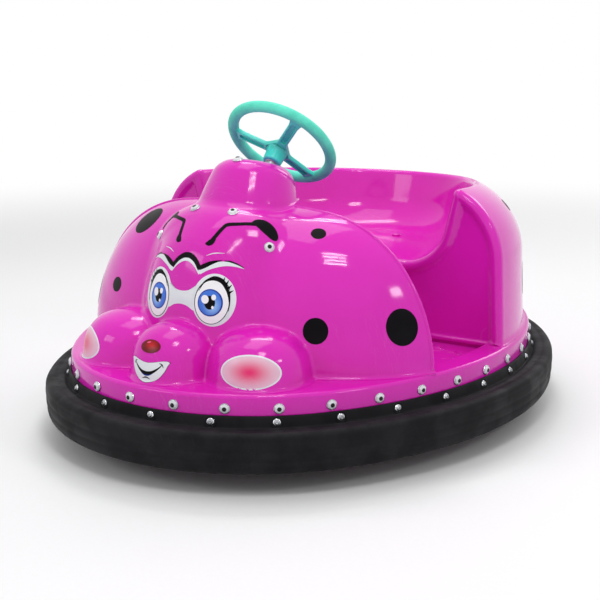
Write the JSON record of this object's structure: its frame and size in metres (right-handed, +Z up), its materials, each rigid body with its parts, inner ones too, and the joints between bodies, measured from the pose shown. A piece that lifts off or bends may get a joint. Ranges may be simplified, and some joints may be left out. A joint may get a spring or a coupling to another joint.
{
  "type": "bumper car",
  "caption": "Child's bumper car: a pink moulded body with a rounded face and hollow seat inside an oval rubber ring, on a steered drive wheel and rear wheels.",
  "frame": {"origin": "on the floor under the middle of the oval ring", "axes": "+Z up, +Y towards the rear, +X to the driver's left as the driver sits facing -Y"},
  "size_m": [1.1998, 1.504, 0.7869],
  "materials": {
    "ring_rubber": "matt moulded rubber",
    "frame_paint": "black paint",
    "pink_shell": "glossy gel coat",
    "mount_rubber": "moulded",
    "bush_plastic": "turned nylon",
    "axle_steel": "bright steel",
    "battery_case": "moulded case",
    "pedal_rubber": "ribbed",
    "lamp_clear": "clear faceted",
    "wheel_green": "soft foam grip",
    "spoke_green": "satin moulded",
    "shaft_chrome": "polished",
    "motor_case": "satin enamel",
    "tyre": "solid rubber",
    "hub_aluminium": "cast"
  },
  "bodies": {
    "root": {"bumper_rubber": "ring_rubber", "bumper_hoop": "frame_paint", "base_tub": "pink_shell", "front_hood": "pink_shell", "rear_body": "pink_shell", "seat_cap": "pink_shell", "chassis_frame": "frame_paint", "pivot_plate": "frame_paint", "body_mounts": "mount_rubber", "steering_post": "frame_paint", "column_bush": "bush_plastic", "rear_axle": "axle_steel", "axle_brackets": "frame_paint", "battery": "battery_case", "foot_pedal": "pedal_rubber", "rim_lamps": "lamp_clear", "brow_lamps": "lamp_clear", "pod_lamp": "lamp_clear"},
    "steering": {"steering_rim": "wheel_green", "steering_spider": "spoke_green", "steering_shaft": "shaft_chrome"},
    "drive_unit": {"kingpin": "axle_steel", "drive_fork": "frame_paint", "drive_motor": "motor_case", "drive_axle": "axle_steel"},
    "drive_wheel": {"drive_tyre": "tyre", "drive_hub": "hub_aluminium"},
    "rear_wheel_left": {"rear_tyre_left": "tyre", "rear_hub_left": "hub_aluminium"},
    "rear_wheel_right": {"rear_tyre_right": "tyre", "rear_hub_right": "hub_aluminium"}
  },
  "joints": [
    {"name": "steering_turn", "type": "hinge", "parent": "root", "child": "steering", "pos_m": [0, -0.136, 0.681], "axis": [0, 0.7193, 0.6947], "range_deg": [-90, 90]},
    {"name": "drive_steer", "type": "hinge", "parent": "root", "child": "drive_unit", "pos_m": [0, -0.352, 0.2], "axis": [0, 0, 1], "range_deg": [-90, 90]},
    {"name": "drive_wheel_spin", "type": "hinge", "parent": "drive_unit", "child": "drive_wheel", "pos_m": [0, -0.352, 0.075], "axis": [1, 0, 0], "continuous": true},
    {"name": "rear_wheel_left_spin", "type": "hinge", "parent": "root", "child": "rear_wheel_left", "pos_m": [0.3, 0.38, 0.075], "axis": [1, 0, 0], "continuous": true},
    {"name": "rear_wheel_right_spin", "type": "hinge", "parent": "root", "child": "rear_wheel_right", "pos_m": [-0.3, 0.38, 0.075], "axis": [1, 0, 0], "continuous": true}
  ],
  "couplings": [
    {"joint": "drive_steer", "follows": "steering_turn", "ratio": 1}
  ]
}
